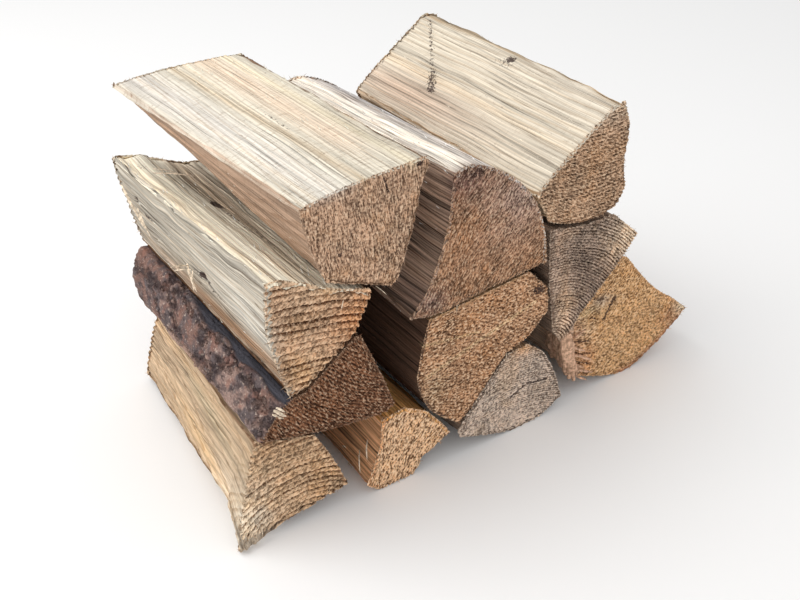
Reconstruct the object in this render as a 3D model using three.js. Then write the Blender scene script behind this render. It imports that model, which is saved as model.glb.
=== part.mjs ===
// A stack of eleven split firewood logs, in millimetres, +Z up.
//
// The logs lie along Y. Four stand on the ground, three rest in the dips between
// them, and four more lie on those. Each log is one riven piece: its section is
// drawn at its front end and at its back end, and the body runs from one to the other.
//
// Sections are drawn as seen from the front: x from the stack's left side to its
// right, z up from the ground, corners anticlockwise. A corner is [x, z], and a third
// number bows the side that starts there outwards by that many millimetres. A side
// bows at both ends of its log or at neither.

import * as THREE from 'three';

// Driving dimensions.
const LOG_LENGTH = 300;
// Where the body is cut across, as shares of its length from the front end.
const STATIONS = [0, 0.06, 0.3, 0.55, 0.8, 1];
// Straight pieces that a bowed side is made of.
const BOW_SEGMENTS = 5;

const WOOD = {
  pale: { color: 0xd9c39a, roughness: 0.85, metalness: 0 },
  brown: { color: 0x9c6b42, roughness: 0.9, metalness: 0 },
  tan: { color: 0xb98a55, roughness: 0.9, metalness: 0 },
  grey: { color: 0x8d8172, roughness: 0.95, metalness: 0 },
};

// Each log: the gap between the stack's front plane and its front end, how much longer
// or shorter it is than LOG_LENGTH, and its two end sections. A toe is a flake left at
// the very front end, where the split ran out: corner numbers and where they stand there.
const LOGS = [
  {
    name: 'log_bottom_left', wood: 'tan', setBack: 8, extra: -13,
    front: [[2, 49, 1], [36, 14], [121, 20, 2], [88, 95], [58, 103], [31, 114, 1]],
    back: [[38, 6, 2], [58, 0], [146, 0, 3], [118, 68], [88, 75], [62, 82, 2]],
    toe: [[0, 5, 0], [1, 36, 5]],
  },
  {
    name: 'log_bottom_small', wood: 'tan', setBack: 3, extra: -4,
    front: [[150, 0], [192, 0], [201, 16], [234, 32, 1], [206, 70], [180, 86], [153, 83], [151, 54], [136, 12]],
    back: [[158, 0], [200, 0], [210, 16], [235, 33, 1], [210, 69], [188, 86], [162, 84.5], [158, 52], [146, 12]],
  },
  {
    name: 'log_bottom_grey', wood: 'grey', setBack: 0, extra: -2,
    front: [[308, 0], [348, 0], [377, 15], [371, 33, 2], [345, 84], [323, 102], [297, 100], [250, 46], [239, 31], [243, 21]],
    back: [[308, 0], [350, 0], [376, 16], [371, 36, 3], [346, 84], [324, 102], [298, 100], [252, 47], [240, 33], [245, 20]],
  },
  {
    name: 'log_bottom_right', wood: 'tan', setBack: 9, extra: -8,
    front: [[466, 0], [488, 0, 5], [568, 50], [540, 74, -2], [491, 115], [459, 151], [443, 158], [440, 151], [399, 110], [385, 91], [389, 60], [404, 22]],
    back: [[464, 0], [490, 0, 6], [566, 50], [540, 72, -2], [492, 114], [456, 152], [442, 158], [439, 152], [400, 112], [387, 94], [391, 60], [405, 21]],
  },
  {
    name: 'log_middle', wood: 'brown', setBack: 0, extra: 0,
    front: [[240, 41], [251, 49], [296, 101.2], [322, 108], [346, 131, 1], [342, 161], [318, 185], [203, 174, 2], [190, 112, 2], [206, 71]],
    back: [[241, 42], [253, 50], [297, 101.5], [322, 108], [343, 132, 2], [338, 162], [316, 184], [206, 175, 3], [192, 112, 2], [209, 71]],
  },
  {
    name: 'log_bark_left', wood: 'brown', setBack: 0, extra: 0,
    front: [[31, 115.5], [94, 99.5], [158, 91], [168, 97, 1], [133, 186], [127, 186], [78, 149.8], [61, 148, 1]],
    back: [[63, 82.8], [112, 73], [162, 86], [172, 96, 2], [138, 191], [126, 189], [80, 160], [58, 157, 13]],
  },
  {
    name: 'log_upper_left', wood: 'pale', setBack: 0, extra: 1,
    front: [[62, 149], [78, 150.8], [129, 189], [145, 221], [144, 227], [100, 243, 2], [54, 264], [48, 261, 1], [46, 214, 1]],
    back: [[60, 160], [80, 162], [134, 196], [164, 222], [160, 229], [100, 243, 2], [48, 262], [41, 260, 1], [49, 214, 1]],
  },
  {
    name: 'log_wedge_grey', wood: 'grey', setBack: 0, extra: 0,
    front: [[366, 87], [378, 92], [392, 111, 1], [437, 153], [461, 181], [421, 215], [385, 214], [338, 221.5], [342.5, 168], [354, 103]],
    back: [[366, 90], [378, 95], [392, 113, 1], [436, 155], [458, 183], [424, 222], [385, 220.5], [340, 229.5], [343, 168], [355, 106]],
  },
  {
    name: 'log_top_middle', wood: 'brown', setBack: 0, extra: -1,
    front: [[181, 181], [204, 175.5], [270, 181.5], [339, 187, 26], [246, 311, 2], [225, 307], [219, 255, -1], [200, 205]],
    back: [[188, 188], [208, 177], [270, 181.5], [337, 189, 27], [252, 300, 2], [230, 295], [222, 255, -1], [204, 210]],
  },
  {
    name: 'log_top_right', wood: 'pale', setBack: 0, extra: 3,
    front: [[336, 229, 8], [421, 220, 2], [433, 240], [427, 270], [428, 302], [418, 329], [403, 325, 1], [331, 274], [317, 261]],
    back: [[334, 236, 8], [424, 226, 2], [440, 246], [437, 275], [440, 308], [430, 334], [412, 337, 1], [333, 280], [319, 267]],
  },
  {
    name: 'log_top_left', wood: 'pale', setBack: 0, extra: 5,
    front: [[101, 244.5], [164, 221], [171, 226, 2], [194, 305], [202, 323], [198, 331], [125, 325, 1], [80, 316, 3]],
    back: [[60, 321], [150, 234], [162, 232, 2], [198, 300], [209, 319], [190, 334], [118, 334, 1], [54, 328, 1]],
  },
];

// A corner list as a closed shape, with each bowed side as one curve.
function sectionShape(corners) {
  const shape = new THREE.Shape();
  shape.moveTo(corners[0][0], corners[0][1]);
  corners.forEach(([x, z, bow = 0], index) => {
    const [nextX, nextZ] = corners[(index + 1) % corners.length];
    if (bow === 0) {
      shape.lineTo(nextX, nextZ);
      return;
    }
    const length = Math.hypot(nextX - x, nextZ - z);
    // A quadratic curve passes half as far from its chord as its control point lies.
    const reach = (2 * bow) / length;
    const controlX = (x + nextX) / 2 + reach * (nextZ - z);
    const controlZ = (z + nextZ) / 2 - reach * (nextX - x);
    shape.quadraticCurveTo(controlX, controlZ, nextX, nextZ);
  });
  return shape;
}

// The section's points, the same number for every section with as many corners.
function sectionPoints(corners) {
  return sectionShape(corners).getPoints(BOW_SEGMENTS).slice(0, -1);
}

// An extruded body whose cross-sections pass from the front section to the back one.
// It is extruded along its own z, whose zero is the back end.
function billetGeometry({ front, back, toe = [] }, length) {
  const frontPoints = sectionPoints(front);
  const backPoints = sectionPoints(back);
  const flaked = front.map((corner) => [...corner]);
  toe.forEach(([index, x, z]) => {
    flaked[index] = [x, z, front[index][2]];
  });
  const endPoints = sectionPoints(flaked);

  const steps = STATIONS.length - 1;
  const geometry = new THREE.ExtrudeGeometry(sectionShape(front), {
    depth: length, steps, bevelEnabled: false, curveSegments: BOW_SEGMENTS,
  });
  const position = geometry.getAttribute('position');
  const vertex = new THREE.Vector3();
  const place = new THREE.Vector2();
  for (let i = 0; i < position.count; i += 1) {
    vertex.fromBufferAttribute(position, i);
    const flat = new THREE.Vector2(vertex.x, vertex.y);
    const corner = frontPoints.findIndex((point) => point.distanceTo(flat) < 1e-3);
    const station = steps - Math.round((vertex.z / length) * steps);
    const share = STATIONS[station];
    const start = station === 0 ? endPoints : frontPoints;
    place.lerpVectors(start[corner], backPoints[corner], share);
    position.setXYZ(i, place.x, place.y, length * (1 - share));
  }
  geometry.computeVertexNormals();
  return geometry;
}

function billet(log) {
  const length = LOG_LENGTH + log.extra;
  const mesh = new THREE.Mesh(billetGeometry(log, length), new THREE.MeshStandardMaterial(WOOD[log.wood]));
  mesh.name = log.name;
  // Stands the section upright, with the extruded length lying along Y.
  mesh.rotation.x = Math.PI / 2;
  mesh.position.y = log.setBack + length;
  return mesh;
}

const stack = new THREE.Group();
LOGS.forEach((log) => stack.add(billet(log)));

// The origin is under the middle of the stack, on the ground.
const bounds = new THREE.Box3().setFromObject(stack);
stack.position.set(-(bounds.min.x + bounds.max.x) / 2, -(bounds.min.y + bounds.max.y) / 2, -bounds.min.z);

const firewood = new THREE.Group();
firewood.add(stack);

export default firewood;
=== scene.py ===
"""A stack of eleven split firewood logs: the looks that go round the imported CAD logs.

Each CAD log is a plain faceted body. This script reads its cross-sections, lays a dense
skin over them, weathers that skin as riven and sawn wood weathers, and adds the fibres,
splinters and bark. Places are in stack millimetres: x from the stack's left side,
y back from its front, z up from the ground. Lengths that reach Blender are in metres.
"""

import math

import bpy
import numpy as np
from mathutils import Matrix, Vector
from mathutils.geometry import delaunay_2d_cdt


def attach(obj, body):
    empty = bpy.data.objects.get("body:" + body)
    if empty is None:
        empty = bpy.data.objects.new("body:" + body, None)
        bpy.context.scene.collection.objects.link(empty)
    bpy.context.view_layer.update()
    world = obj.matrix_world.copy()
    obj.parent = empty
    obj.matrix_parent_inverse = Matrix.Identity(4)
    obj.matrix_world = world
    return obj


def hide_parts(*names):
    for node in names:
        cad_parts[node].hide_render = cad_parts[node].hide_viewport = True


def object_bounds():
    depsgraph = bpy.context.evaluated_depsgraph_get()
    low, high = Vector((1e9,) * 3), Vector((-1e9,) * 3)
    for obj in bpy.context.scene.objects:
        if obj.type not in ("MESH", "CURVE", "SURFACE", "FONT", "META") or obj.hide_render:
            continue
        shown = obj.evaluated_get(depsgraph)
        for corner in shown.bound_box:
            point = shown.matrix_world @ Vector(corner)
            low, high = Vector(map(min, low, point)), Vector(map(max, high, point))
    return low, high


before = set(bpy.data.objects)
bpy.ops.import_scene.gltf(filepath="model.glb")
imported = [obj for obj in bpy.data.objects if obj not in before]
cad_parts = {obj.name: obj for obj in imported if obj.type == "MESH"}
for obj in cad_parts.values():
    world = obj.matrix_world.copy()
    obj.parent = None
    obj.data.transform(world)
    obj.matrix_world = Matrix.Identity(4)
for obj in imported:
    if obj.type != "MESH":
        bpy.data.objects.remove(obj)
cad_low, cad_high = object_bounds()

MM = 0.001
# The stack's rightmost corner, in stack millimetres.
STACK_RIGHT = 568.0

# The skin's mesh: how far apart its points are, round a log, along it, over its ends and along its bark.
STEP_AROUND = 1.05 * MM
STEP_ALONG = 2.6 * MM
STEP_ALONG_AT_ENDS = 0.9 * MM
STEP_FRONT_END = 0.95 * MM
STEP_BACK_END = 1.7 * MM
BARK_STEP = 1.5 * MM
# The bark scales' width.
BARK_SCALE = 34.0 * MM
# Section corners that turn less than this are points on a curve.
SOFT_TURN = math.radians(24)
# How deep a side's paint reaches over the rim of a sawn end.
FRONT_RIM_TONE = 0.6 * MM
BACK_RIM_TONE = 2.4 * MM
# The tones of a side swing a little to and fro over this much of its log's length.
TWIST_PITCH = 35 * MM
# How many terraces the deepest split face steps down through.
TERRACE_LEVELS = 9.0
# A sliver's rings of points, and one ring: across it and up from it, as shares of its half width.
SLIVER_STEPS = 11
SLIVER_SECTION = ((1, 0), (0.4, 0.5), (-0.5, 0.3), (-1, 0), (0, -0.4))


def place(x, y, z):
    """A point given in stack millimetres, in metres in the stack's frame."""
    return Vector((cad_high.x + (x - STACK_RIGHT) * MM, cad_low.y + y * MM, cad_low.z + z * MM))


def heart(log):
    """Where the heart of the tree was that a log was split from."""
    return place(log["pith"][0], 0, log["pith"][1])


def paint(red, green, blue):
    """A paint mixed from 0 to 255, as the linear colour that a shader takes."""
    parts = [c / 255 for c in (red, green, blue)]
    return [c / 12.92 if c <= 0.04045 else ((c + 0.055) / 1.055) ** 2.4 for c in parts]


def trail(start, stop, count, *reach_and_strength):
    """A line of small stains or dents from one place to another."""
    start, stop = np.array(start, float), np.array(stop, float)
    return [(*(start + (stop - start) * k / (count - 1)), *reach_and_strength) for k in range(count)]


# ------------------------------------------------------------------ the logs

# slot: what the log's pieces are made of. pith: where the heart of its tree was. ring: its ring width.
# tone: (facing from, facing to, paint): the riven faces that look that way, in degrees
#   anticlockwise from the right as seen from the front, so that 90 looks up. These paints are
#   partly the wood's own colour and partly painted light and shade: faces that look up are
#   painted lighter, and faces that look down or lie between logs darker.
# end: the sawn front end's paint. saw: which way the saw's strokes run over it, in degrees.
# wavy: how far the grain lines stray. bold, lines, scuffs, warm, specks: how strong a side's grain,
#   dark lines, marks across the grain, warm streaks and dirt are. side_rings: its growth rings.
# strokes, end_rings, fuzz: how strong an end's saw strokes, growth rings and torn tufts are; fuzz also sets how
# strong the painted highlights on the tufts and the painted shade in the pits are.
# ridge, terrace: how deep the riven ridges and steps are.
# skins: (facing from, facing to, width, paint, strength): another tone along the rim of a sawn end.
# smudges: (x, y, z, reach x, reach y, reach z, paint, strength).
# stains: (x, y, z, reach x, reach y, reach z, strength): knots, mould and dirt.
# dents: (x, y, z, reach, depth).
COMMON = dict(
    wavy=3.0, bold=1.0, lines=0.35, scuffs=0.15, strokes=1.2, side_rings=0.3, end_rings=0.22, warm=0.3,
    specks=0.4, ridge=0.9, terrace=0.8, fuzz=0.8, skins=[], smudges=[], stains=[], dents=[])
# What each log has of its own, and where it differs from COMMON.
LOGS = {
    "log_top_left": dict(
        slot="pale_wood", pith=(560, 250), ring=4.4, end=(186, 151, 124), saw=78, wavy=1.5, bold=0.8,
        lines=0.22, scuffs=0.4, side_rings=0.22, end_rings=0.16, warm=0.35, specks=0.5, ridge=0.45, terrace=0.9,
        tone=[(60, 120, (236, 228, 210)), (120, 215, (176, 147, 124)), (215, 300, (120, 92, 70)),
              (-60, 60, (150, 118, 92))],
        smudges=[*trail((105, 0, 328), (78, 300, 331), 5, 20, 50, 9, (236, 230, 224), 0.7),
                 *trail((163, 90, 331), (150, 300, 334), 4, 15, 46, 8, (250, 226, 200), 0.8),
                 *trail((139, 0, 329), (115, 300, 332), 7, 3.6, 36, 8, (198, 172, 136), 0.6),
                 *trail((184, 0, 330), (172, 300, 334), 5, 5, 50, 8, (246, 232, 198), 0.5)],
        stains=[(115, 0, 267, 3, 3, 3, 0.8), (137, 120, 331, 2.2, 60, 3, 0.4),
                *trail((157, 0, 321), (161, 0, 309), 8, 1.3, 3.0, 1.5, 0.9), (191, 0, 325, 4, 3, 2.6, 1.1)],
        dents=[*trail((157, 0, 321), (161, 0, 309), 8, 1.3, 0.7)],
    ),
    "log_top_middle": dict(
        slot="brown_wood", pith=(420, 60), ring=3.2, end=(168, 127, 97), saw=38, bold=1.6, lines=0.7,
        strokes=2.6, side_rings=0.18, end_rings=0.25, warm=0.15, ridge=1.5, fuzz=0.65,
        # The greyer faces that look up and to the right, and the blue-grey smudge along that slope, are painted
        # shade: the cool, sky-lit side of the top that looks away from the light.
        tone=[(75, 120, (255, 246, 232)), (0, 75, (216, 206, 196)), (120, 235, (162, 136, 118)),
              (235, 360, (130, 104, 84))],
        smudges=[(238, 0, 298, 26, 12, 20, (112, 82, 76), 0.8), (205, 0, 190, 18, 60, 14, (122, 98, 92), 0.8),
                 (300, 200, 270, 40, 200, 40, (188, 190, 200), 0.6)],
        stains=[(250, 0, 302, 12, 5, 9, 0.6)],
    ),
    "log_top_right": dict(
        slot="pale_wood", pith=(390, 640), ring=3.6, end=(181, 147, 118), saw=8, side_rings=0.28,
        end_rings=0.35, ridge=0.6, terrace=1.2,
        tone=[(90, 165, (228, 217, 198)), (20, 90, (206, 186, 158)), (165, 235, (196, 170, 140)),
              (235, 380, (150, 118, 92))],
        smudges=[(335, 230, 285, 22, 110, 18, (205, 174, 152), 0.7),
                 (405, 40, 330, 30, 90, 20, (240, 228, 210), 0.5)],
        stains=[*trail((408, 286, 334), (360, 217, 301), 14, 3.2, 4.5, 3.2, 0.62),
                *trail((364, 222, 304), (350, 206, 292), 6, 4.5, 8.0, 4.0, 0.72),
                *trail((412, 300, 336), (345, 300, 289), 9, 5.0, 4.5, 4.0, 0.55), (404, 146, 330, 6, 6, 4, 1.1),
                (398, 150, 327, 9, 14, 4, 0.45)],
    ),
    "log_upper_left": dict(
        slot="pale_wood", pith=(40, -60), ring=6.4, end=(200, 165, 134), saw=60, wavy=9, bold=1.3, lines=0.8,
        side_rings=0.35, end_rings=0.95, warm=0.25, specks=0.5, ridge=0.75, terrace=1.0, fuzz=0.55,
        tone=[(40, 120, (255, 248, 228)), (120, 215, (190, 182, 168)), (215, 400, (140, 106, 80))],
        skins=[(120, 235, 1.8, (240, 226, 204), 0.8), (40, 120, 1.6, (236, 214, 182), 0.6)],
        smudges=[(130, 0, 205, 24, 12, 24, (222, 150, 92), 0.6), (76, 0, 170, 16, 10, 16, (240, 198, 152), 0.6),
                 (112, 210, 243, 24, 110, 8, (234, 198, 160), 0.7),
                 (112, 50, 243, 26, 80, 8, (252, 224, 186), 0.5),
                 (90, 230, 246, 30, 60, 10, (190, 184, 168), 0.6),
                 (54, 90, 172, 16, 150, 17, (166, 126, 92), 0.95),
                 (48, 150, 190, 12, 90, 12, (150, 138, 118), 0.5),
                 (66, 140, 258, 16, 46, 8, (244, 236, 214), 0.8),
                 (60, 200, 256, 12, 60, 8, (226, 214, 188), 0.6),
                 (48, 40, 214, 10, 50, 16, (226, 222, 212), 0.6)],
        stains=[(95, 179, 246, 5, 8, 5, 2.0), (95, 150, 245, 3, 34, 4, 0.5), (46, 260, 227, 4, 4, 3, 2.0),
                (48, 124, 207, 4, 9, 3.6, 2.4), (48, 140, 203, 4, 12, 2.4, 0.8),
                (48, 242, 216, 4, 10, 2.0, 0.9), (62, 268, 262, 8, 12, 5, 0.5), (104, 110, 243, 5, 60, 3, 0.5),
                (49, 110, 200, 5, 24, 3, 0.5)],
        dents=[(46, 260, 227, 4, 4.0), (48, 124, 207, 5, 5.0), (95, 179, 246, 5, 2.0)],
    ),
    "log_bark_left": dict(
        slot="brown_wood", pith=(260, 320), ring=3.0, end=(130, 89, 63), saw=-35, end_rings=0.45, warm=0.1,
        ridge=0.6, fuzz=0.75,
        tone=[(0, 360, (128, 96, 74))],
    ),
    "log_bottom_left": dict(
        slot="tan_wood", pith=(66, -42), ring=5.6, end=(206, 170, 134), saw=20, wavy=2, bold=0.8, lines=0.3,
        side_rings=0.35, end_rings=0.95, specks=0.3, terrace=1.3, fuzz=0.5,
        tone=[(120, 240, (200, 174, 144)), (0, 120, (150, 116, 88)), (240, 360, (120, 92, 70))],
        smudges=[(8, 10, 30, 34, 56, 34, (248, 236, 216), 0.85),
                 (30, 150, 80, 14, 140, 7, (172, 160, 132), 0.6),
                 (18, 150, 50, 14, 150, 8, (224, 188, 140), 0.6)],
    ),
    "log_bottom_small": dict(
        slot="tan_wood", pith=(330, -120), ring=3.4, end=(216, 176, 138), saw=52, bold=1.5, side_rings=0.35,
        end_rings=0.35, specks=0.6, terrace=1.2, fuzz=1.3,
        # Its faces that look left lie in shade, and their paint is raised so that they read lit: painted light.
        tone=[(120, 240, (228, 174, 130)), (0, 120, (224, 168, 104)), (240, 360, (140, 110, 84))],
    ),
    "log_middle": dict(
        slot="brown_wood", pith=(120, -160), ring=3.0, end=(181, 138, 104), saw=42, ridge=0.7, terrace=0.9,
        fuzz=1.0,
        # Its faces that look left are painted dark as shade, and its top is painted lighter: painted light and
        # shade over one brown.
        tone=[(0, 360, (132, 100, 76)), (50, 120, (190, 150, 110)), (120, 240, (96, 72, 58))],
        smudges=[*trail((200, 0, 112), (327, 0, 148), 40, 1.7, 6, 1.7, (232, 204, 158), 0.6),
                 *trail((196, 0, 148), (262, 0, 139), 24, 1.5, 6, 1.5, (226, 198, 152), 0.5),
                 (212, 0, 96, 14, 8, 20, (160, 140, 116), 0.6)],
        stains=[(331, 0, 160, 11, 4, 8, 0.8)],
    ),
    "log_bottom_grey": dict(
        slot="grey_wood", pith=(300, -160), ring=2.6, end=(212, 192, 176), saw=30, end_rings=0.6, warm=0.0,
        specks=0.3, ridge=0.6, fuzz=0.6,
        tone=[(0, 360, (130, 112, 98))],
        smudges=[(320, 0, 98, 18, 12, 10, (214, 164, 116), 0.7)],
        stains=[*trail((306, 0, 44), (326, 0, 52), 12, 1.6, 3.0, 1.4, 1.2),
                *trail((326, 0, 52), (352, 0, 47), 14, 1.5, 3.0, 1.3, 1.2)],
        dents=[*trail((306, 0, 44), (326, 0, 52), 16, 1.5, 0.8),
               *trail((326, 0, 52), (352, 0, 47), 20, 1.4, 0.8)],
    ),
    "log_wedge_grey": dict(
        slot="grey_wood", pith=(352, 86), ring=2.9, end=(174, 152, 136), saw=-40, end_rings=0.75, warm=0.0,
        specks=0.3, ridge=0.6, fuzz=0.55,
        tone=[(0, 360, (140, 118, 102))],
        smudges=[(448, 0, 184, 28, 14, 26, (255, 232, 204), 0.95),
                 (390, 0, 160, 22, 12, 30, (132, 110, 98), 0.5), (368, 0, 120, 10, 8, 28, (240, 208, 178), 0.9),
                 (352, 0, 180, 7, 8, 40, (196, 168, 148), 0.6)],
    ),
    "log_bottom_right": dict(
        slot="tan_wood", pith=(330, 200), ring=3.6, end=(208, 164, 117), saw=-20, bold=1.5, side_rings=0.35,
        warm=0.4, terrace=1.4,
        # Its faces that look left lie in shade between its neighbours, and their pale paint makes them read
        # lit: painted light.
        tone=[(0, 60, (206, 158, 112)), (60, 130, (220, 180, 136)), (130, 240, (244, 214, 188)),
              (240, 360, (170, 128, 92))],
        skins=[(-95, 40, 6.5, (158, 92, 66), 0.85)],
        smudges=[(560, 9, 56, 14, 16, 10, (250, 232, 200), 0.85), (541, 9, 50, 16, 12, 13, (158, 98, 66), 0.55),
                 (398, 9, 70, 16, 12, 34, (190, 150, 122), 0.8), (416, 9, 40, 14, 12, 20, (200, 150, 112), 0.8),
                 (430, 9, 106, 16, 12, 9, (150, 130, 114), 0.85), (410, 9, 98, 16, 12, 7, (214, 190, 152), 0.8),
                 (417, 9, 76, 10, 12, 8, (224, 196, 164), 0.7)],
        stains=[*trail((449, 9, 106), (436, 9, 84), 12, 1.8, 3.0, 1.8, 1.1), (447, 9, 103, 4, 4, 3.4, 0.9),
                (436, 9, 84, 3, 4, 3, 0.9), *trail((395, 9, 54), (422, 9, 45), 12, 1.8, 3.0, 1.3, 0.8),
                *trail((396, 9, 42), (424, 9, 31), 12, 1.8, 3.0, 1.3, 0.85),
                *trail((400, 9, 66), (416, 9, 64), 8, 1.6, 3.0, 1.5, 0.9),
                *trail((420, 9, 20), (404, 9, 32), 8, 1.6, 3.0, 1.6, 0.9),
                *trail((404, 9, 92), (424, 9, 88), 8, 1.6, 3.0, 1.2, 0.8),
                *trail((420, 9, 112), (442, 9, 108), 8, 1.4, 3.0, 1.0, 0.7)],
        dents=[(396, 9, 84, 13, 6.0), (398, 9, 58, 11, 6.0), (404, 9, 34, 9, 5.0), (416, 9, 98, 12, 3.0),
               (430, 9, 112, 12, 2.0), *trail((449, 9, 106), (436, 9, 84), 12, 1.6, 1.0),
               *trail((395, 9, 54), (426, 9, 44), 12, 1.8, 1.6),
               *trail((396, 9, 42), (424, 9, 31), 12, 1.8, 1.6),
               *trail((404, 9, 92), (424, 9, 88), 8, 1.8, 1.0)],
    ),
}


# ------------------------------------------------------------------ wiring trees

class Wiring:
    """Adds nodes to one tree, material or geometry, and joins them up."""

    def __init__(self, tree):
        self.tree = tree

    def node(self, kind, plugs=None, **settings):
        made = self.tree.nodes.new(kind)
        for key, value in settings.items():
            setattr(made, key, value)
        for key, value in (plugs or {}).items():
            self.plug(value, made.inputs[key])
        return made

    def plug(self, value, socket):
        if isinstance(value, bpy.types.NodeSocket):
            self.tree.links.new(value, socket)
        else:
            socket.default_value = value

    def sum_of(self, operation, *values):
        made = self.node("ShaderNodeMath", operation=operation)
        for index, value in enumerate(values):
            self.plug(value, made.inputs[index])
        return made.outputs[0]

    def chain(self, operation, values):
        total = values[0]
        for value in values[1:]:
            total = self.sum_of(operation, total, value)
        return total

    def times(self, *values):
        return self.chain("MULTIPLY", values)

    def plus(self, *values):
        return self.chain("ADD", values)

    def swing(self, value, *sizes):
        """A value from 0 to 1 made to swing about zero, times its sizes."""
        return self.times(self.plus(value, -0.5), *sizes)

    def arrow(self, operation, *values, scale=None):
        """Vector maths; the result is a vector, except for LENGTH and DOT_PRODUCT."""
        made = self.node("ShaderNodeVectorMath", operation=operation)
        for index, value in enumerate(values):
            self.plug(value, made.inputs[index])
        if scale is not None:
            self.plug(scale, made.inputs["Scale"])
        return made.outputs["Value" if operation in ("LENGTH", "DOT_PRODUCT") else "Vector"]

    def point(self, x=0.0, y=0.0, z=0.0):
        return self.node("ShaderNodeCombineXYZ", {"X": x, "Y": y, "Z": z}).outputs[0]

    def part(self, value, axis):
        return self.node("ShaderNodeSeparateXYZ", {0: value}).outputs[axis]

    def drawn_out(self, at, along, across=1.0):
        """Where to read a pattern so that it is drawn out along the grain, or across it."""
        return self.arrow("MULTIPLY", at, (across, along, across))

    def noise(self, at, scale, detail=2.0, rough=0.5, seed=0.0, colour=False):
        made = self.node("ShaderNodeTexNoise", noise_dimensions="4D")
        plugs = {"Vector": at, "Scale": scale, "Detail": detail, "Roughness": rough, "W": seed}
        for key, value in plugs.items():
            self.plug(value, made.inputs[key])
        return made.outputs["Color" if colour else 0]

    def shake(self, at, scale, rough, seed, size):
        """A small push, up to half its size each way, that differs from place to place."""
        push = self.arrow("SUBTRACT", self.noise(at, scale, 2.0, rough, seed, colour=True), (0.5, 0.5, 0.5))
        return self.arrow("SCALE", push, scale=size)

    def ease(self, value, low, high, to_low=0.0, to_high=1.0):
        """Eases from to_low, where value is low, up to to_high, where it is high."""
        made = self.node("ShaderNodeMapRange", interpolation_type="SMOOTHSTEP")
        for index, given in enumerate((value, low, high, to_low, to_high)):
            self.plug(given, made.inputs[index])
        return made.outputs[0]

    def blend(self, share, first, second):
        made = self.node("ShaderNodeMix", data_type="RGBA", blend_type="MIX", clamp_factor=True)
        self.plug(share, made.inputs[0])
        for index, value in ((6, first), (7, second)):
            self.plug(value if isinstance(value, bpy.types.NodeSocket) else [*value, 1.0], made.inputs[index])
        return made.outputs[2]

    def tinted(self, share, colour, tint):
        """The colour, with a share of it multiplied by a tint."""
        return self.blend(share, colour, self.arrow("MULTIPLY", colour, tint))

    def lit(self, colour, brightness):
        """The colour, brighter or darker by a number."""
        return self.arrow("SCALE", colour, scale=brightness)

    def painted(self, attribute, output="Fac"):
        """For a material: what is painted on its piece's mesh."""
        return self.node("ShaderNodeAttribute", attribute_name=attribute).outputs[output]


def growth_rings(w, here, pith, ring):
    """How far a point lies into its year's growth, 0 to 1, that year's number, and its place from the pith."""
    along = w.drawn_out(here, 0.10)
    where = w.arrow("ADD", here, w.shake(along, 11.0, 0.5, 3.0, 16 * MM))
    where = w.arrow("ADD", where, w.shake(along, 120.0, 0.5, 5.0, 1.6 * MM))
    out = w.arrow("MULTIPLY", w.arrow("SUBTRACT", where, pith), (1.0, 0.0, 1.0))
    reach = w.arrow("LENGTH", out)
    years = w.sum_of("DIVIDE", reach, ring)
    return w.sum_of("FRACT", years), w.sum_of("FLOOR", years), out, reach


def along_grain(w, here, girth, wave, seed):
    """Where a side point lies round its log and along it, so that what is read there runs along the grain."""
    wavering = w.swing(w.noise(w.drawn_out(here, 0.6), 22.0, 1.0, 0.5, seed + 10), wave * 2)
    return w.point(w.plus(girth, wavering), w.times(w.part(here, 1), 0.012))


def late_wood(w, share):
    """The dark late wood at the end of each year's growth."""
    return w.times(w.ease(share, 0.25, 0.88), w.ease(share, 0.9, 1.0, 1.0, 0.0))


def torn_fibre(w, out, reach, seed):
    """The tufts that a saw leaves on an end."""
    apart = w.node("ShaderNodeSeparateXYZ", {0: out}).outputs
    round_the_pith = w.times(w.sum_of("ARCTAN2", apart[2], apart[0]), reach)
    return w.noise(w.point(reach, round_the_pith), 360.0, 1.0, 0.5, w.plus(seed, 120.0))


# ------------------------------------------------------------------ materials

def new_finish(name):
    """An empty material, its wiring, and where each point of its piece is."""
    material = bpy.data.materials.new(name)
    material.use_nodes = True
    material.node_tree.nodes.clear()
    w = Wiring(material.node_tree)
    return material, w, w.node("ShaderNodeTexCoord").outputs["Object"]


def finished(w, colour, height, relief, roughness=0.86):
    """Joins a colour and a bump height to a dull wood surface."""
    bump = w.node("ShaderNodeBump", {"Height": height, "Strength": 1.0, "Distance": relief})
    surface = w.node("ShaderNodeBsdfPrincipled", {
        "Base Color": colour, "Normal": bump.outputs[0], "Roughness": roughness, "Specular IOR Level": 0.22})
    w.plug(surface.outputs[0], w.node("ShaderNodeOutputMaterial").inputs["Surface"])


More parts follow.
